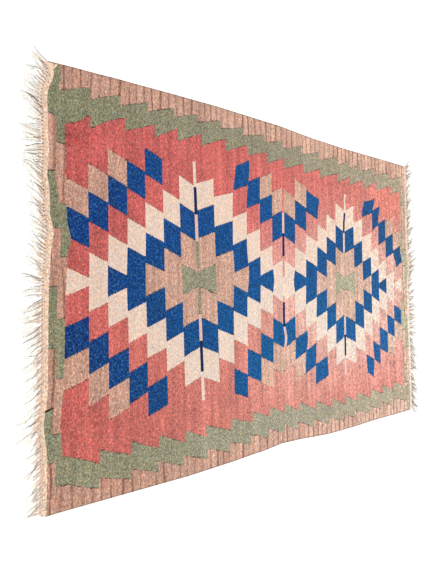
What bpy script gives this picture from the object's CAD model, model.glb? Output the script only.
import math
import random

import bpy
import numpy as np
from mathutils import Euler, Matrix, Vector
from mathutils.bvhtree import BVHTree


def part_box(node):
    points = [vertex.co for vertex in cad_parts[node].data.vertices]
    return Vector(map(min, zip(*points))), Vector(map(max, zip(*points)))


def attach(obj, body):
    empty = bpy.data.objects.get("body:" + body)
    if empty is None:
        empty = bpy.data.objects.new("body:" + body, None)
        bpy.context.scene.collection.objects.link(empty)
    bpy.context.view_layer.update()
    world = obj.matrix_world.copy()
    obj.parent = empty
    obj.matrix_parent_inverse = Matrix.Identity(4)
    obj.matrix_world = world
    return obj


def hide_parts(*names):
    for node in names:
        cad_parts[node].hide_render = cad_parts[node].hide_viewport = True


# A flat-woven wool kilim lying on a pale floor.  Metres, in the CAD model's frame: X runs along the
# warps, from fringe to fringe, Y along the wefts, and the floor is at 0.  The chart of colours is
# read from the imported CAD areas, and woven here rib by rib.

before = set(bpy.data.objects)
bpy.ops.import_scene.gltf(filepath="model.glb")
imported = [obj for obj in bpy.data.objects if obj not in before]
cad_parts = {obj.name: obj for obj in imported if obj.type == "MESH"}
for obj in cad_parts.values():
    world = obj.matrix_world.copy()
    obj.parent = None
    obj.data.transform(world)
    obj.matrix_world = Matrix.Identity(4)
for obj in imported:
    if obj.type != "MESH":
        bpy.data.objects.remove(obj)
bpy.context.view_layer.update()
random.seed(7)

MM = 0.001
BODY = "root"

# ---- Weave ------------------------------------------------------------------------------------
RIB = 3.0 * MM                   # the cloth has one rib along X over each warp
CELL = 3.6 * MM                  # length of the cells that a colour's edge steps by
STEPS = 18                       # cells across one column of the pattern, two to each rib
COLUMN = (45 * MM, 90 * MM)      # the narrowest and the widest column
GROOVE = 0.7 * MM                # depth between two ribs
LIFT = 0.1 * MM                  # the cloth's least height above the floor
WAVE = 1.1 * MM                  # height of its slight waves
SLIT_SHORT = 0.30 * MM           # half width of the slit at a step of two cells
SLIT_LONG = 1.5 * MM             # and at the longest steps
SLIT_FULL = 40 * MM              # the length of step from which a slit is that wide
GAPES = [(-888, -337)]           # where, in millimetres, a torn slit stands open
GAPE = 0.8 * MM                  # half its width
GAPE_REACH = 12 * MM             # how near to that place a slit has to be
TORN = 9.0                       # how dark its lips are, beside 1 for a groove
PALE = {"cream_wool", "blush_wool", "undyed_yarn"}    # little dirt shows in their slits
CHART_Y = 0.3                    # a column line is named by its x at this height and below
LINE_LENGTH = 0.1                # least length of colour edge along a column line
LINE_GAP = 1.8 * MM              # least distance between two column lines
LEAN = 0.2                       # most that a column line leans
EDGE_LENGTH = 8 * MM             # least length of one colour edge that counts towards such a line
HALF_WIDTH = 0.62                # beyond half the rug's width
SLACK = 0.1 * MM                 # how closely two points share an x

# Where the weaver's columns wander off the chart: a place, how far it is pulled, and how far
# around it the pull reaches.  Millimetres.
PULLS = [
    ((-212, 425), (19, 0), 55), ((578, 402), (36, -2), 42), ((590, 300), (9, 0), 30),
    ((592, 253), (9, 0), 30), ((662, 370), (12, 0), 30), ((776, 95), (24, 0), 26),
    ((850, 185), (-10, 0), 28), ((550, -332), (13, 0), 40), ((518, -392), (12, -3), 28),
    ((832, -150), (-11, 0), 34), ((128, -215), (13, 0), 32), ((252, -366), (6, 0), 30),
    ((5, -205), (11, 0), 26), ((-885, -375), (-10, 0), 34), ((-890, 300), (-7, 0), 36),
    ((-892, 520), (-1, 0), 60), ((-890, 235), (6, 0), 40), ((893, 95), (14, 0), 40),
    ((890, -20), (-6, 0), 34), ((-820, 474), (-7, -34), 44), ((-898, 575), (18, 0), 24),
    ((-935, 345), (11, 0), 75), ((-900, 60), (6, 0), 110), ((-900, -200), (4, 0), 110),
    ((-900, -480), (3, 0), 110), ((-660, 0), (-5, 0), 70), ((-440, 0), (3, 0), 40),
    ((-850, 385), (-9, 0), 42), ((395, 330), (9, 0), 30), ((397, 410), (11, 0), 30),
    ((228, 345), (8, 0), 20), ((-735, -490), (0, -9), 34), ((-860, -452), (0, 4), 26),
    ((-630, -505), (0, -6), 28), ((-838, -530), (0, 12), 24), ((-779, 558), (9, 0), 26),
    ((-200, 40), (11, 0), 42), ((-46, 16), (8, 0), 28), ((68, 13), (-8, 0), 25),
    ((-874, 288), (-5, 0), 16), ((-874, -331), (0, 7), 14), ((548, 384), (14, 0), 24),
    ((545, 290), (7, 0), 22), ((-898, 141), (9, 0), 22), ((-900, 100), (5, 0), 50),
    ((-843, 122), (9, -4), 20), ((-855, 250), (-4, 0), 55),
]
# How far the long edges of the rug and the two edges of each sage border wander from the chart:
# the height of the edge, how far from it the shift reaches, and places along X with the shift
# there.  Millimetres.  The shifts were measured by another program, between the photograph and an
# earlier render, and then thinned out and rounded by hand.
BORDERS = [
    (610, 25, [(-860, 3), (-800, 1), (-512, -3), (-416, -2), (-313, 0), (122, 0), (273, 2),
               (625, 3), (831, 3)]),
    (548, 38, [(-870, -4), (-810, -2), (-750, -6), (-630, -5), (-510, 2), (-330, 4), (-150, -2),
               (30, -6), (210, -13), (450, -12), (690, -9), (870, -8)]),
    (475, 38, [(-870, 0), (-600, 0), (-450, 6), (-330, 10), (-150, 10), (-60, -2), (30, -6),
               (210, -10), (510, -10), (600, -4), (750, -2), (870, -8)]),
    (-480, 38, [(-750, 1), (-570, -2), (-450, -7), (-270, -2), (-150, 8), (-30, 12), (90, 6),
                (180, -2), (270, -10), (390, -7), (570, -5), (690, 2), (870, 0)]),
    (-552, 38, [(-750, 2), (-450, 0), (-270, 2), (-150, 11), (-30, 15), (90, 12), (210, 6),
                (330, 1), (450, 0), (570, 5), (690, 9), (870, 11)]),
    (-610, 25, [(-860, -1), (-650, -3), (-435, -5), (-285, -7), (-175, -11), (-116, -14),
                (-54, -12), (77, -7), (300, -6), (555, -4), (751, -7)]),
]


def vertices(name):
    """The vertices of a CAD node."""
    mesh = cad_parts[name].data
    points = np.empty(len(mesh.vertices) * 3)
    mesh.vertices.foreach_get("co", points)
    return points.reshape(-1, 3)


def triangles(name):
    """The triangles of a CAD node, as rows of vertex numbers."""
    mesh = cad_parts[name].data
    mesh.calc_loop_triangles()
    corners = np.empty(len(mesh.loop_triangles) * 3, int)
    mesh.loop_triangles.foreach_get("vertices", corners)
    return corners.reshape(-1, 3)


def colour_of(name):
    """The record's material slot of a CAD node."""
    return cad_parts[name].data.materials[0].name


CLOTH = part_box("coral_field_top")[1].z
UNWOVEN = ("selvedge", "end_cord", "knots", "fringe")
cloth_nodes = sorted(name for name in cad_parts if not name.startswith(UNWOVEN))


def long_edge(selvedge, inner):
    """The x and y of the points along the side of a selvedge that meets the cloth."""
    points = vertices(selvedge)
    xs = np.unique(points[:, 0].round(5))
    ys = [inner(points[np.abs(points[:, 0] - x) < SLACK, 1]) for x in xs]
    return xs, np.array(ys)


def column_lines():
    """The lines that most colour edges across the rug lie on, from left to right.  Each is given
    by its x at CHART_Y and at -CHART_Y."""
    lengths = {}
    for name in cloth_nodes:
        points = vertices(name)
        for corners in points[triangles(name)]:
            on_top = corners[corners[:, 2] > CLOTH * 0.9]
            if len(on_top) != 2:
                continue
            (x0, y0, _), (x1, y1, _) = on_top
            if abs(x1 - x0) > LEAN * abs(y1 - y0) or abs(y1 - y0) < EDGE_LENGTH:
                continue
            slope = (x1 - x0) / (y1 - y0)
            ends = [x0 + slope * (y - y0) for y in (CHART_Y, -CHART_Y)]
            key = tuple(round(x / MM) for x in ends)
            lengths[key] = lengths.get(key, 0) + abs(y1 - y0)
    found = []
    for line in sorted(lengths, key=lambda key: -lengths[key]):
        if lengths[line] < LINE_LENGTH:
            break
        line = np.array(line) * MM
        reach = [line_x(line, y) for y in (-HALF_WIDTH, HALF_WIDTH)]
        apart = [np.array([line_x(other, y) for y in (-HALF_WIDTH, HALF_WIDTH)]) - reach
                 for other in found]
        if all(gap.min() > LINE_GAP or gap.max() < -LINE_GAP for gap in apart):
            found.append(line)
    return sorted(found, key=sum)


def line_x(line, y):
    """The x of a leaning column line at a height."""
    return (line[0] + line[1]) / 2 + (line[0] - line[1]) / 2 * y / CHART_Y


# ---- Grid of the cloth ------------------------------------------------------------------------
# Column lines cut it along X, and ribs along Y.  Every area of weft is made of whole cells, so two
# areas meet without a gap, and a slanted edge steps from rib to rib as real tapestry does.
top_x, top_y = long_edge("selvedge_top", min)
bottom_x, bottom_y = long_edge("selvedge_bottom", max)
lines = column_lines()
cuts = [lines[0]]
for left, right in zip(lines, lines[1:]):
    width = sum(right - left) / 2
    count = STEPS if COLUMN[0] < width < COLUMN[1] else max(1, round(width / CELL))
    cuts += [left + (right - left) * (step + 1) / count for step in range(count)]
cuts = np.array(cuts)

ribs = round((top_y.mean() - bottom_y.mean()) / RIB)
share = np.arange(2 * ribs + 1)[:, None] / (2 * ribs)
grid_y = np.repeat((share - 0.5) * (top_y.mean() - bottom_y.mean()), len(cuts), axis=1)
for _ in range(3):
    grid_x = line_x(cuts.T[:, None, :], grid_y)
    low = np.interp(grid_x, bottom_x, bottom_y)
    grid_y = low + (np.interp(grid_x, top_x, top_y) - low) * share


def chart():
    """For each cell of the grid, which of cloth_nodes it belongs to."""
    points, faces, owner = [], [], []
    for number, name in enumerate(cloth_nodes):
        corners = triangles(name) + sum(len(p) for p in points)
        points.append(vertices(name))
        faces.append(corners)
        owner += [number] * len(corners)
    tree = BVHTree.FromPolygons(np.concatenate(points).tolist(), np.concatenate(faces).tolist())
    down = Vector((0, 0, -1))
    middle_x = (grid_x[1::2, 1:] + grid_x[1::2, :-1]) / 2
    middle_y = (grid_y[1::2, 1:] + grid_y[1::2, :-1]) / 2
    cells = np.empty(middle_x.shape, int)
    for place in np.ndindex(cells.shape):
        above = Vector((middle_x[place], middle_y[place], 2 * CLOTH))
        face = tree.ray_cast(above, down)[2]
        if face is None:
            face = tree.find_nearest(above)[2]
        cells[place] = owner[face]
    return cells


cells = chart()
colours = sorted({colour_of(name) for name in cloth_nodes})
colour_number = np.array([colours.index(colour_of(name)) for name in cloth_nodes])


def open_slits():
    """Half the width of the slit at each crossing of a groove and a cut, and how dark its lips
    are.  A slit opens where two colours meet along a groove, and is wider on a longer step."""
    half = np.zeros((ribs + 1, len(cuts)))
    dark = np.zeros_like(half)
    colour = colour_number[cells]
    for rib in range(1, ribs):
        apart = np.concatenate([[False], colour[rib] != colour[rib - 1], [False]])
        turns = np.flatnonzero(apart[1:] != apart[:-1])
        for start, stop in zip(turns[::2], turns[1::2]):
            length = grid_x[2 * rib, stop] - grid_x[2 * rib, start]
            open_share = min(1.0, max(0.0, (length - 2 * CELL) / SLIT_FULL))
            widest = SLIT_SHORT + (SLIT_LONG - SLIT_SHORT) * open_share
            widest *= random.uniform(0.6, 1.5)
            along = np.linspace(0, math.pi, stop - start + 1)
            half[rib, start:stop + 1] = widest * np.sin(along) ** 0.6
            pale = {colours[colour[r, start]] for r in (rib - 1, rib)} & PALE
            worn = max(3.0 * random.random() ** 3, 1.3 * open_share)
            worn *= 0.25 if pale else 1.0
            dark[rib, start:stop + 1] = worn * (0.4 + 0.6 * np.sin(along))
            for at_x, at_y in GAPES:
                away = math.hypot(grid_x[2 * rib, start:stop + 1].mean() - at_x * MM,
                                  grid_y[2 * rib, start] - at_y * MM)
                if away < GAPE_REACH:
                    half[rib, start:stop + 1] = GAPE * np.sin(along) ** 0.3 * (1 - 0.2 * along)
                    dark[rib, start:stop + 1] = TORN * (1 - 0.25 * along)
    return half, dark


def wander(x, y):
    """Moves points of the chart to where the weaver's columns and borders really run."""
    x_shift, y_shift = np.zeros_like(x), np.zeros_like(y)
    for (at_x, at_y), (pull_x, pull_y), reach in PULLS:
        near = ((x - at_x * MM) ** 2 + (y - at_y * MM) ** 2) / (2 * (reach * MM) ** 2)
        x_shift += pull_x * MM * np.exp(-near)
        y_shift += pull_y * MM * np.exp(-near)
    for edge, reach, shifts in BORDERS:
        places, amounts = np.array(shifts).T
        near = (y / MM - edge) ** 2 / (2 * reach ** 2)
        y_shift += np.interp(x / MM, places, amounts) * MM * np.exp(-near)
    return x + x_shift, y + y_shift


def height(x, y):
    """How far the slight waves of the cloth lift it off the floor."""
    waves = (np.sin(7.1 * x + 1.3 * np.sin(3.1 * y)) * np.sin(5.3 * y + 0.9)
             + 0.6 * np.sin(17.0 * y + 2.0 * np.sin(2.3 * x)) * np.sin(3.7 * x + 0.5))
    return LIFT + WAVE * (1 + waves / 1.6) / 2


slits, lips = open_slits()
cloth_x, cloth_y = wander(grid_x, grid_y)
cloth_z = CLOTH - GROOVE * (np.arange(2 * ribs + 1)[:, None] % 2 == 0) + height(cloth_x, cloth_y)


# ---- Meshes -----------------------------------------------------------------------------------
def mesh_object(name, points, face_sets, **numbers):
    """An object from points and from sets of faces of equal size.  numbers are values to keep
    at its points, for its material."""
    mesh = bpy.data.meshes.new(name)
    corners = np.concatenate([faces.ravel() for faces in face_sets])
    sizes = np.concatenate([np.full(len(faces), faces.shape[1]) for faces in face_sets])
    mesh.vertices.add(len(points))
    mesh.vertices.foreach_set("co", np.asarray(points, np.float32).ravel())
    mesh.loops.add(len(corners))
    mesh.loops.foreach_set("vertex_index", corners.astype(np.int32))
    mesh.polygons.add(len(sizes))
    starts = np.cumsum(sizes) - sizes
    mesh.polygons.foreach_set("loop_start", starts.astype(np.int32))
    for key, values in numbers.items():
        layer = mesh.attributes.new(key, "FLOAT", "POINT")
        layer.data.foreach_set("value", np.asarray(values, np.float32).ravel())
    mesh.update(calc_edges=True)
    mesh.validate()
    mesh.shade_smooth()
    mesh.set_sharp_from_angle(angle=math.radians(58))
    piece = bpy.data.objects.new(name, mesh)
    bpy.context.scene.collection.objects.link(piece)
    return piece


def weave(name, mask):
    """One area of weft as a closed piece: ribbed on top, flat below, with its edges between."""
    rib, cell = np.nonzero(mask)
    wide = len(cuts)
    tops = grid_x.size

    def top(row, cut):
        return row * wide + cut

    def under(row, cut):
        return tops + row * wide + cut

    row = 2 * rib
    face_sets = [
        np.stack([top(row, cell), top(row, cell + 1), top(row + 1, cell + 1),
                  top(row + 1, cell)], 1),
        np.stack([top(row + 1, cell), top(row + 1, cell + 1), top(row + 2, cell + 1),
                  top(row + 2, cell)], 1),
        np.stack([under(rib, cell), under(rib + 1, cell), under(rib + 1, cell + 1),
                  under(rib, cell + 1)], 1)]
    framed = np.pad(mask, 1)
    for open_side, cut, turn in [(~framed[1:-1, :-2], 0, 1), (~framed[1:-1, 2:], 1, -1)]:
        r, c = np.nonzero(mask & open_side)
        c = c + cut
        wall = [top(2 * r, c), top(2 * r + 1, c), top(2 * r + 2, c), under(r + 1, c), under(r, c)]
        face_sets.append(np.stack(wall[::turn], 1))
    for open_side, up, turn in [(~framed[:-2, 1:-1], 0, 1), (~framed[2:, 1:-1], 1, -1)]:
        r, c = np.nonzero(mask & open_side)
        r = r + up
        wall = [under(r, c), under(r, c + 1), top(2 * r, c + 1), top(2 * r, c)]
        face_sets.append(np.stack(wall[::turn], 1))

    above = framed[1:, :-1] | framed[1:, 1:]
    below = framed[:-1, :-1] | framed[:-1, 1:]
    part = slits * (above & ~below) - slits * (below & ~above)
    y = cloth_y.copy()
    y[::2] += part
    points = np.concatenate([
        np.stack([cloth_x, y, cloth_z], 2).reshape(-1, 3),
        np.stack([cloth_x[::2], y[::2], cloth_z[::2] - CLOTH + GROOVE], 2).reshape(-1, 3)])
    rib_number = np.arange(2 * ribs + 1)[:, None] / 2 + np.zeros(wide)
    depth = (rib_number % 1 == 0) * 1.0
    depth[::2] += lips
    depth[1::2] += 0.45 * (lips[1:] + lips[:-1])
    depth = np.concatenate([depth.ravel(), np.full(slits.size, 4.0)])
    rib_number = np.concatenate([rib_number.ravel(), rib_number[::2].ravel()])

    used, corners = np.unique(np.concatenate([f.ravel() for f in face_sets]), return_inverse=True)
    ends = np.cumsum([faces.size for faces in face_sets])[:-1]
    face_sets = [flat.reshape(faces.shape)
                 for flat, faces in zip(np.split(corners, ends), face_sets)]
    return mesh_object(name, points[used], face_sets, depth=depth[used], rib=rib_number[used])


def tube(path, radii, sides, squash=1.0):
    """The points and faces of a closed tube along a path, with a radius for each of its points,
    and how far along it each point is.  squash flattens it."""
    path = np.asarray(path)
    along = np.gradient(path, axis=0)
    along /= np.linalg.norm(along, axis=1)[:, None]
    side = np.cross(along, (0, 0, 1))
    side /= np.linalg.norm(side, axis=1)[:, None]
    over = np.cross(side, along)
    turn = np.arange(sides) / sides * 2 * math.pi
    radii = np.asarray(radii).reshape(len(path), -1, 1)
    rings = path[:, None] + radii * (np.cos(turn)[None, :, None] * side[:, None]
                                     + np.sin(turn)[None, :, None] * over[:, None] * squash)
    points = np.concatenate([rings.reshape(-1, 3), path[:1], path[-1:]])
    ring = np.arange(len(path) - 1)[:, None] * sides
    here = np.arange(sides)
    after = (here + 1) % sides
    quads = np.stack([ring + here, ring + after, ring + sides + after, ring + sides + here], -1)
    last = (len(path) - 1) * sides
    first_tip = np.full(sides, len(points) - 2)
    last_tip = np.full(sides, len(points) - 1)
    caps = np.concatenate([np.stack([after, here, first_tip], 1),
                           np.stack([last + here, last + after, last_tip], 1)])
    reached = np.append(np.repeat(np.linspace(0, 1, len(path)), sides), (0, 1))
    return points, quads.reshape(-1, 4), caps, reached


def bundle(name, tubes, shades=None):
    """One object from many tubes.  shades is a number for each tube's material."""
    points, quads, caps, shade, along, count = [], [], [], [], [], 0
    for number, (tube_points, tube_quads, tube_caps, reached) in enumerate(tubes):
        points.append(tube_points)
        quads.append(tube_quads + count)
        caps.append(tube_caps + count)
        value = shades[number] if shades else 0.0
        shade.append(np.full(len(tube_points), value))
        along.append(reached)
        count += len(tube_points)
    return mesh_object(name, np.concatenate(points), [np.concatenate(quads), np.concatenate(caps)],
                       shade=np.concatenate(shade), along=np.concatenate(along))


# ---- Materials --------------------------------------------------------------------------------
# Each dye has faded unevenly: its colours at the rug's left end, middle and right end, first in
# the upper half and then in the lower.  They are sRGB.  Most rows were worked out by another
# program, which compared the mean colours of the photograph with those of an earlier render.
DYES = {
    "coral_wool": [(189, 85, 82), (216, 112, 105), (228, 145, 131),
                   (196, 93, 86), (223, 144, 129), (233, 145, 132)],
    "sage_wool": [(129, 128, 99), (151, 144, 120), (182, 166, 141),
                  (140, 137, 107), (170, 164, 140), (190, 174, 149)],
    "tan_wool": [(196, 149, 129), (217, 174, 152), (223, 181, 157),
                 (196, 150, 128), (221, 178, 157), (237, 199, 176)],
    "blue_wool": [(0, 49, 117), (0, 75, 139), (14, 75, 125),
                  (0, 44, 108), (0, 88, 147), (24, 93, 157)],
    "dark_blue_wool": [(0, 34, 84), (0, 42, 96), (6, 44, 92),
                       (0, 32, 80), (2, 44, 96), (8, 50, 104)],
    "cream_wool": [(234, 206, 188), (247, 218, 198), (254, 227, 206),
                   (231, 201, 181), (249, 229, 212), (255, 232, 218)],
    "blush_wool": [(232, 190, 176), (238, 200, 188), (250, 228, 218),
                   (232, 190, 176), (238, 202, 190), (250, 224, 214)],
    "undyed_yarn": [(240, 208, 182), (242, 212, 188), (241, 216, 195),
                    (240, 208, 182), (242, 214, 190), (252, 233, 213)],
    "selvedge_wool": [(160, 121, 100), (163, 125, 105), (173, 135, 113),
                      (167, 138, 116), (160, 124, 103), (175, 136, 115)],
}
# How far, and to what colour, the sun has faded these along the middle of the right half.
FADED = {"coral_wool": (0.40, (252, 232, 214)), "sage_wool": (0.40, (200, 205, 170)),
         "tan_wool": (0.10, (252, 232, 214))}
ALBEDO = 0.80                    # how bright the cloth is beside the photographed colour
TONE = 0.6                       # how far the fibres of one yarn differ in hue
BEAD = 1.7 * MM                  # length of one bead of weft along a rib
DARK_WEFTS = 29 * MM             # from one dark weft in the tan to the next
STRIPE = (188, 122, 106)         # sRGB of the broad bands in the tan borders
DARK_WEFT = (128, 84, 66)        # and of the dark wefts in them
TURNED_WEFT = (52, 34, 28)       # and of those wefts where they turn back at a selvedge
BROWN_YARN = (104, 80, 60)       # and of the brown plies in the fringe


def linear(srgb):
    """An sRGB colour as linear red, green, blue and alpha."""
    return [ALBEDO * ((c / 255 + 0.055) / 1.055) ** 2.4 for c in srgb] + [1.0]


class Tree:
    """A material's nodes, with short ways to add and join them."""

    def __init__(self, name):
        self.material = bpy.data.materials.new(name)
        self.material.use_nodes = True
        self.nodes = self.material.node_tree.nodes
        self.links = self.material.node_tree.links
        self.nodes.clear()

    def add(self, kind, inputs=None, output=0, **settings):
        node = self.nodes.new(kind)
        for key, value in settings.items():
            setattr(node, key, value)
        for key, value in (inputs or {}).items():
            if isinstance(value, bpy.types.NodeSocket):
                self.links.new(value, node.inputs[key])
            else:
                node.inputs[key].default_value = value
        return node.outputs[output] if node.outputs else node

    def maths(self, operation, *values):
        return self.add("ShaderNodeMath", dict(enumerate(values)), operation=operation)

    def spread(self, value, low, high, out_low=0.0, out_high=1.0):
        """Value from low to high, as a smooth step between the two outs."""
        return self.add("ShaderNodeMapRange", {0: value, 1: low, 2: high, 3: out_low, 4: out_high},
                        interpolation_type="SMOOTHSTEP")

    def noise(self, place, x_scale, y_scale, detail=2.0, roughness=0.5):
        """Noise with its own number of features to a metre along X and Y."""
        scaled = self.add("ShaderNodeMapping", {"Vector": place, "Scale": (x_scale, y_scale, 40)})
        return self.add("ShaderNodeTexNoise", {"Vector": scaled, "Scale": 1.0, "Detail": detail,
                                               "Roughness": roughness})

    def ramp(self, value, colours):
        node = self.nodes.new("ShaderNodeValToRGB")
        self.links.new(value, node.inputs[0])
        stops = node.color_ramp.elements
        for number in range(len(colours) - 2):
            stops.new((number + 1) / (len(colours) - 1))
        for stop, colour in zip(stops, colours):
            stop.color = colour
        return node.outputs[0]

    def mix(self, share, one, other, blend="MIX"):
        return self.add("ShaderNodeMix", {0: share, 6: one, 7: other}, output=2,
                        data_type="RGBA", blend_type=blend)

    def attribute(self, name):
        return self.add("ShaderNodeAttribute", output=2, attribute_name=name)


def dyed(tree, dye, place, x, y):
    """The faded colour of a dye, without its yarns."""
    along = tree.add("ShaderNodeMapRange", {0: x, 1: -0.9, 2: 0.9})
    drift = tree.maths("MULTIPLY_ADD", tree.noise(place, 2.2, 1.6), 0.16, -0.08)
    along = tree.maths("ADD", along, drift)
    upper, lower = [[linear(colour) for colour in half] for half in (DYES[dye][:3], DYES[dye][3:])]
    down = tree.spread(y, 0.28, -0.30)
    colour = tree.mix(down, tree.ramp(along, upper), tree.ramp(along, lower))
    if dye in FADED:
        share, pale = FADED[dye]
        away = tree.maths("ABSOLUTE", tree.maths("ADD", y, 0.06))
        faded = tree.maths("MULTIPLY", tree.spread(away, 0.50, 0.06),
                           tree.spread(x, -0.28, 0.15, 0.0, share))
        colour = tree.mix(faded, colour, linear(pale))
    return colour


def varied(tree, place, x, colour, streaks, heather, specks, lumps, tones=TONE, flecks=0.0,
           light=None):
    """Gives a colour the clouds and streaks of the weft, the mixed fibres of the yarn, tufts,
    which are coarser towards the right end, and flecks that took less dye."""
    tufts = tree.noise(place, 220, 165, 3.0, 0.8)
    coarse = tree.maths("SUBTRACT", tree.noise(place, 75, 62, 3.0, 0.8), 0.5)
    total = tree.maths("MULTIPLY", coarse, tree.spread(x, -0.3, 0.9, 0.0, lumps))
    parts = [(tree.noise(place, 14, 9), streaks * 0.6), (tree.noise(place, 62, 3), streaks),
             (tree.noise(place, 300, 80), heather), (tufts, specks)]
    for noise, amount in parts:
        total = tree.maths("ADD", tree.maths("MULTIPLY_ADD", noise, amount, -amount / 2), total)
    tone = tree.maths("MULTIPLY_ADD", tree.noise(place, 70, 55, 3.0, 0.8), tones, -tones / 2)
    warm = tree.maths("EXPONENT", tree.maths("ADD", total, tone))
    cool = tree.maths("EXPONENT", tree.maths("SUBTRACT", total, tone))
    total = tree.maths("EXPONENT", total)
    shade = tree.add("ShaderNodeCombineColor", {0: warm, 1: total, 2: cool})
    colour = tree.mix(1.0, colour, shade, "MULTIPLY")
    if not flecks:
        return colour
    pale = tree.spread(tree.noise(place, 170, 150, 2.0, 0.8), 0.50, 0.68, 0.0, flecks)
    return tree.mix(pale, colour, light)


def finished(tree, colour, roughness, sheen, height, strength, distance):
    """Closes the tree with wool's own surface."""
    bump = tree.add("ShaderNodeBump", {"Strength": strength, "Distance": distance,
                                       "Height": height})
    surface = tree.add("ShaderNodeBsdfPrincipled", {
        "Base Color": colour, "Roughness": roughness, "Specular IOR Level": 0.15,
        "Sheen Weight": sheen, "Sheen Roughness": 0.5, "Normal": bump})
    tree.add("ShaderNodeOutputMaterial", {0: surface})
    return tree.material


def dark_wefts(tree, place, x):
    """How far the dark wefts show that cross the tan, a line or so to each 29 mm."""
    drift = tree.maths("MULTIPLY_ADD", tree.noise(place, 9, 3), 0.05, x)
    period = tree.maths("MULTIPLY", drift, 2 * math.pi / DARK_WEFTS)
    line = tree.spread(tree.maths("SINE", period), 0.5, 1.0)
    strength = tree.spread(tree.noise(place, 24, 6), 0.38, 0.62, 0.42, 0.95)
    return tree.maths("MULTIPLY", line, strength)


def woven(name, dye, streaks, heather, specks, lumps, flecks, stripes=0.0, tones=TONE,
          marks=None):
    """Wool weft packed over the warps: beads along every rib, in brick order, dark grooves and
    uneven dye.  stripes is the strength of the dark wefts that cross the tan, and marks adds
    what only this area has."""
    tree = Tree(name)
    place = tree.add("ShaderNodeTexCoord", output=3)
    split = tree.nodes.new("ShaderNodeSeparateXYZ")
    tree.links.new(place, split.inputs[0])
    x, y = split.outputs[0], split.outputs[1]
    rib, depth = tree.attribute("rib"), tree.attribute("depth")

    colour = dyed(tree, dye, place, x, y)
    if stripes:
        broad = tree.spread(tree.noise(place, 16, 1.5), 0.50, 0.68, 0.0, 0.36 * stripes)
        colour = tree.mix(broad, colour, linear(STRIPE))
        dark = tree.maths("MULTIPLY", dark_wefts(tree, place, x), stripes)
        colour = tree.mix(dark, colour, linear(DARK_WEFT))
    if marks:
        colour = marks(tree, place, colour)
    light = linear([(2 * channel + 255) / 3 for channel in DYES[dye][4]])
    colour = varied(tree, place, x, colour, streaks, heather, specks, lumps, tones, flecks, light)

    brick = tree.maths("MULTIPLY", tree.maths("FLOOR", rib), 0.5)
    turn = tree.maths("ADD", tree.maths("DIVIDE", x, BEAD), brick)
    bead = tree.maths("ABSOLUTE", tree.maths("SINE", tree.maths("MULTIPLY", turn, math.pi)))
    bead = tree.maths("POWER", bead, 0.6)
    shade = tree.maths("MULTIPLY", tree.spread(depth, 0.0, 1.0, 1.06, 0.72),
                       tree.spread(depth, 1.0, 2.2, 1.0, 0.10))
    shade = tree.maths("MULTIPLY", shade, tree.maths("MULTIPLY_ADD", bead, 0.22, 0.84))
    shade = tree.add("ShaderNodeCombineColor", {0: shade, 1: shade, 2: shade})
    colour = tree.mix(1.0, colour, shade, "MULTIPLY")

    fuzz = tree.maths("MULTIPLY", tree.noise(place, 1500, 1500, 3.0), 0.5)
    return finished(tree, colour, 0.95, 0.06, tree.maths("ADD", bead, fuzz), 0.55, 0.35 * MM)


def spun(name, dye, pitch, tip=None, dots=0.0):
    """Plied yarn: fine turns along it, dark strands by their own shade, and a paler tip.  dots is
    the strength of the dark wefts that turn back at a selvedge."""
    tree = Tree(name)
    place = tree.add("ShaderNodeTexCoord", output=3)
    split = tree.nodes.new("ShaderNodeSeparateXYZ")
    tree.links.new(place, split.inputs[0])
    x, y = split.outputs[0], split.outputs[1]
    colour = dyed(tree, dye, place, x, y)
    if tip:
        colour = tree.mix(tree.spread(tree.attribute("along"), 0.0, 0.4), colour, tip)
    colour = varied(tree, place, x, colour, 0.1, 0.3, 0.3, 0.3)
    colour = tree.mix(tree.attribute("shade"), colour, linear(BROWN_YARN))
    if dots:
        dark = tree.maths("MULTIPLY", dark_wefts(tree, place, x), dots)
        colour = tree.mix(dark, colour, linear(TURNED_WEFT))
    turns = tree.maths("MULTIPLY", tree.maths("ADD", x, y), 2 * math.pi / pitch)
    turns = tree.maths("ADD", tree.maths("SINE", turns), tree.noise(place, 900, 900))
    return finished(tree, colour, 0.85, 0.2, turns, 0.4, 0.25 * MM)


def sun_marks(tree, place, colour):
    """The orange cast of the coral field near the right end, and a small dark red spot in it."""
    for (at_x, at_y), reach, tint in [((0.735, 0.400), 0.170, (238, 128, 104)),
                                      ((0.773, 0.410), 0.008, (140, 30, 40))]:
        away = tree.add("ShaderNodeVectorMath", {0: place, 1: (at_x, at_y, CLOTH)}, output=1,
                        operation="DISTANCE")
        share = tree.spread(away, reach, 0.0, 0.0, 0.42)
        colour = tree.mix(share, colour, linear(tint))
    return colour


wools = {
    "coral_wool": woven("coral wool", "coral_wool", 1.0, 1.4, 3.2, 2.4, 0.25, marks=sun_marks),
    "sage_wool": woven("sage wool", "sage_wool", 0.5, 1.0, 4.2, 2.2, 0.35, tones=0.8),
    "tan_wool": woven("tan wool", "tan_wool", 0.9, 1.6, 3.0, 2.4, 0.31, stripes=0.2),
    "blue_wool": woven("blue wool", "blue_wool", 0.5, 1.6, 5.5, 3.5, 0.50),
    "cream_wool": woven("cream wool", "cream_wool", 0.2, 0.6, 1.7, 2.2, 0.0),
    "blush_wool": woven("blush wool", "blush_wool", 0.2, 0.6, 1.1, 1.5, 0.0),
    "undyed_yarn": woven("undyed weft", "undyed_yarn", 0.2, 0.8, 3.4, 2.0, 0.0),
}
stem_blue = woven("stem blue wool", "dark_blue_wool", 0.5, 1.6, 3.0, 2.0, 0.1)
striped_tan = woven("striped tan wool", "tan_wool", 0.7, 1.6, 2.9, 2.4, 0.25, stripes=0.88)
yarn = spun("undyed warp yarn", "undyed_yarn", 2.6 * MM)
loose = spun("loose warp yarn", "undyed_yarn", 2.6 * MM, tip=(0.94, 0.91, 0.84, 1.0))
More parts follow.
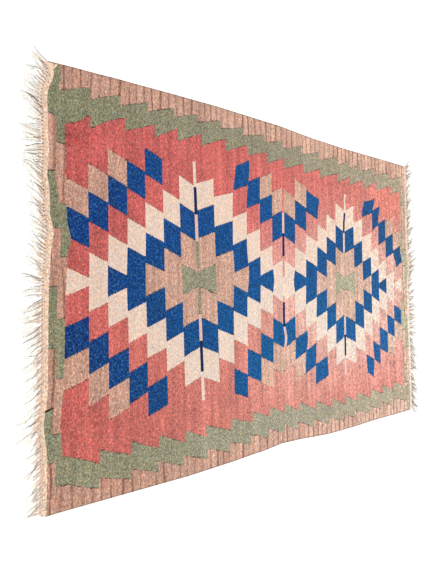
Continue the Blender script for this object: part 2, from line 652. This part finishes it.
overcast = spun("overcast wool", "selvedge_wool", 3.2 * MM, dots=0.95)
OWN = {"tan_border": striped_tan, "tan_panel": striped_tan, "stem_blue": stem_blue}


# ---- Cloth ------------------------------------------------------------------------------------
def show(piece, node, material):
    """Gives a piece its material, body and slot, in place of its CAD node."""
    piece.data.materials.append(material)
    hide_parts(node)
    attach(piece, BODY)
    return piece


for number, node in enumerate(cloth_nodes):
    slot = colour_of(node)
    own = [wool for start, wool in OWN.items() if node.startswith(start)]
    material = own[0] if own else wools[slot]
    show(weave(f"woven_{node}", cells == number), node, material)


# ---- Selvedges --------------------------------------------------------------------------------
SELVEDGE_STEP = 0.8 * MM
WRAP = 3.2 * MM                  # one turn of the overcasting wool


def selvedge(node, row, out):
    """The outer warps along a long edge, overcast with wool: a cord with a slanting bead to each
    turn of the wrapping."""
    low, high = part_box(node)
    radius = (CLOTH + 0.4 * MM) / 2
    xs = np.arange(low.x, high.x, SELVEDGE_STEP)
    edge_x, edge_y = wander(grid_x[row], grid_y[row])
    ys = np.interp(xs, edge_x, edge_y) + out * 0.55 * radius
    zs = height(xs, ys) + radius
    turn = np.arange(12) / 12 * 2 * math.pi
    wraps = np.abs(np.sin(math.pi * xs[:, None] / WRAP + turn * 0.5))
    radii = radius * (0.84 + 0.2 * wraps)
    points = tube(np.stack([xs, ys, zs], 1), radii, 12, squash=0.95)
    return show(bundle(f"overcast_{node}", [points]), node, overcast)


selvedges = {node: selvedge(node, row, out) for node, row, out
             in [("selvedge_top", -1, 1), ("selvedge_bottom", 0, -1)]}

# ---- Ends: cords, knots and fringe ------------------------------------------------------------
# The lean of the tassels, outwards and towards +Y, in degrees, at heights along each end.
LEANS = {
    "left": [(600, 36), (541, 38), (454, 33), (410, 3), (368, -13), (335, -14), (312, 18),
             (275, 44), (211, 40), (153, 35), (103, 30), (65, 27), (23, 42), (-27, 3),
             (-46, -28), (-100, -28), (-170, -38), (-300, -42), (-420, -42), (-500, -32),
             (-560, -36), (-590, -12)],
    "right": [(600, 20), (500, 34), (150, 30), (-40, 15), (-180, 0), (-350, -20), (-500, -30),
              (-600, -34)],
}
REACHES = {"left": 60 * MM, "right": 74 * MM}    # length of the tassels beyond their knots
# Knots at each end, set to the spacing that each end seems to have.  The CAD model has 100 at both.
BUNDLES = {"left": 122, "right": 76}
DARK = {"left": 1, "right": 2}   # brown plies beside each tassel
KNOT = 0.40                      # half width of a knot, as a share of the distance between two
BROWN = {"left": 1.2, "right": 2.2}    # thickness of a brown ply, beside STRAND
STRANDS = 9                      # ivory plies in each tassel
STRAND = 0.62 * MM               # radius of one ply
SPLAY = 2.6 * MM                 # how far the plies of a tassel spread beyond its knot
PLY = 1.15 * MM                  # radius of one strand of the twined cord
TWINE = 7.0 * MM                 # one turn of the twined cord


def end_line(side):
    """The x of the woven end of the cloth at a height."""
    cut = 0 if side == "left" else -1
    return lambda y: np.interp(y, cloth_y[:, cut], cloth_x[:, cut])


def twined_cord(node, side, out):
    """Two strands twined round each other along the end of the cloth."""
    low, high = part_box(node)
    ys = np.arange(low.y, high.y, 0.9 * MM)
    middle = end_line(side)(ys) + out * 1.4 * PLY
    strands = []
    for start in (0.0, math.pi):
        angle = 2 * math.pi * ys / TWINE + start
        path = np.stack([middle + 0.8 * PLY * np.cos(angle), ys,
                         LIFT + 1.9 * PLY + 0.8 * PLY * np.sin(angle)], 1)
        path[:, 2] += height(middle, ys) - LIFT
        strands.append(tube(path, np.full(len(ys), PLY), 7))
    return show(bundle(f"twined_{node}", strands), node, yarn)


def folded_tassel():
    """The plies of the tassel that is folded back over the rug's upper left corner."""
    plies = []
    for turn in np.radians(np.arange(38, 132, 7)):
        t = np.linspace(0, 1, 9)
        bend = turn + random.gauss(0, 0.06) + 0.3 * t
        step = min(32, 23 / math.sin(turn)) * random.uniform(0.94, 1.04) * MM / 8
        path = np.stack([-0.892 + np.cumsum(np.cos(bend)) * step,
                         0.578 + np.cumsum(np.sin(bend)) * step,
                         (4.3 + 0.9 * np.sin(math.pi * t) - 2.4 * t ** 3) * MM], 1)
        plies.append(tube(path, 1.4 * MM * (1 - 0.4 * t), 7, squash=0.5))
    return plies


def knots_and_fringe(side, out):
    """A knot to each bundle of warps, and beyond it the loose plies of the tassel."""
    knots, strands, shades = [], [], []
    low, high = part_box(f"knots_{side}")
    rows = np.linspace(low.y + 3 * MM, high.y - 3 * MM, BUNDLES[side])
    pitch = rows[1] - rows[0]
    heights, leans = np.array(sorted(LEANS[side])).T
    for y in rows:
        root = end_line(side)(y) + out * 2.8 * PLY
        lean = math.radians(np.interp(y / MM, heights, leans) + random.gauss(0, 7))
        reach = REACHES[side] * random.uniform(0.72, 1.12)
        y += random.gauss(0, 0.5 * MM)
        size = random.uniform(0.85, 1.15)
        along = np.linspace(0, 1, 9)
        swell = KNOT * pitch * size * (0.72 + 0.38 * np.sin(math.pi * along))
        ripple = 1 + 0.13 * np.sin(2 * math.pi * along * 2.2)[:, None] * np.ones(10)
        path = np.stack([root + out * 5.0 * MM * along, y + 1.2 * MM * along * math.sin(lean),
                         np.full(9, 2.3 * MM)], 1)
        knots.append(tube(path, swell[:, None] * ripple, 10, squash=1.6 * MM / (KNOT * pitch)))
        tip_bend = random.gauss(0, 0.25)
        foot = Vector((path[-1][0] - out * 1.0 * MM, path[-1][1], 2.2 * MM))
        gap = Vector((root - out * 2.4 * PLY, y + 0.5 * pitch, 4.7 * MM + height(root, y)))
        for strand in range(STRANDS + DARK[side]):
            dark = strand >= STRANDS
            spot = random.uniform(-1, 1)
            angle = lean + math.radians(spot * 6 + random.gauss(0, 2.5))
            length = reach * random.uniform(0.7, 1.05)
            start = gap if dark else foot
            t = np.linspace(0, 1, 12)
            bend = angle + tip_bend * t + 0.18 * np.sin(2 * math.pi * (t * 1.2 + random.random()))
            step = length / 11
            xs = start.x + out * np.cumsum(np.cos(bend) * step)
            ys = start.y + np.cumsum(np.sin(bend) * step) + spot * SPLAY * np.minimum(1, 6 * t)
            lift = (random.uniform(1.6, 2.6) if dark else random.uniform(0.2, 2.0)) * MM
            zs = STRAND + (start.z - STRAND) * np.exp(-6 * t) + lift * np.sin(math.pi * t) ** 2
            zs += 0.1 * MM if not dark else 0.3 * MM
            thick = STRAND * random.uniform(0.8, 1.25) * (BROWN[side] if dark else 1.15)
            thick *= 1 - 0.55 * t ** 4
            zs = np.maximum(zs, thick)
            strands.append(tube(np.stack([xs, ys, zs], 1), thick, 5))
            shades.append(random.uniform(0.45, 0.95) if dark else random.uniform(0, 0.12))
    if side == "left":
        knots += folded_tassel()
    node = f"knots_{side}"
    knots = show(bundle(f"tied_{node}", knots), node, yarn)
    node = f"fringe_{side}"
    return knots, show(bundle(f"loose_{node}", strands, shades), node, loose)


for side, out in [("left", -1), ("right", 1)]:
    cord = twined_cord(f"end_cord_{side}", side, out)
    knots_and_fringe(side, out)


# ---- Floor, light and camera ------------------------------------------------------------------
FLOOR = 9                        # half the width of the floor
FLOOR_COLOUR = (0.90, 0.90, 0.90, 1)
SKY = 0.80                       # strength of the even light from all round
SUN = 2.3                        # strength of the broad light from one side
SUN_SIZE = 25                    # its angle across, in degrees
SUN_AIM = Vector((0.45, -0.5, -1))
# The camera's place, its angles in degrees and its lens are another program's: it solved them from
# the corners of the rug in the photograph, with the rug taken as 1.8 by 1.2 m.  SHIFT is hand-set.
CAMERA_PLACE = (-1.352585, -0.047882, 1.280533)
CAMERA_ANGLES = (3.913529, -38.708609, -1.103245)
LENS = 30.266863
SENSOR = 36
SHIFT = (0.0021, -0.0292)

floor = bpy.data.objects.new("floor", bpy.data.meshes.new("floor"))
floor.data.from_pydata([(FLOOR * x, FLOOR * y, 0)
                        for x, y in [(-1, -1), (1, -1), (1, 1), (-1, 1)]], [], [(0, 1, 2, 3)])
tree = Tree("pale floor")
surface = tree.add("ShaderNodeBsdfPrincipled", {"Base Color": FLOOR_COLOUR, "Roughness": 0.9})
tree.add("ShaderNodeOutputMaterial", {0: surface})
floor.data.materials.append(tree.material)
bpy.context.scene.collection.objects.link(floor)

world = bpy.data.worlds.new("studio")
world.use_nodes = True
world.node_tree.nodes["Background"].inputs["Color"].default_value = (1, 1, 1, 1)
world.node_tree.nodes["Background"].inputs["Strength"].default_value = SKY
bpy.context.scene.world = world

sun = bpy.data.objects.new("window", bpy.data.lights.new("window", "SUN"))
sun.data.energy = SUN
sun.data.angle = math.radians(SUN_SIZE)
sun.rotation_euler = SUN_AIM.to_track_quat("-Z", "Y").to_euler()
bpy.context.scene.collection.objects.link(sun)

camera = bpy.data.objects.new("camera", bpy.data.cameras.new("camera"))
camera.location = CAMERA_PLACE
camera.rotation_euler = Euler([math.radians(turn) for turn in CAMERA_ANGLES])
camera.data.lens = LENS
camera.data.sensor_width = SENSOR
camera.data.shift_x, camera.data.shift_y = SHIFT
bpy.context.scene.collection.objects.link(camera)
bpy.context.scene.camera = camera
bpy.context.scene.view_settings.view_transform = "Standard"
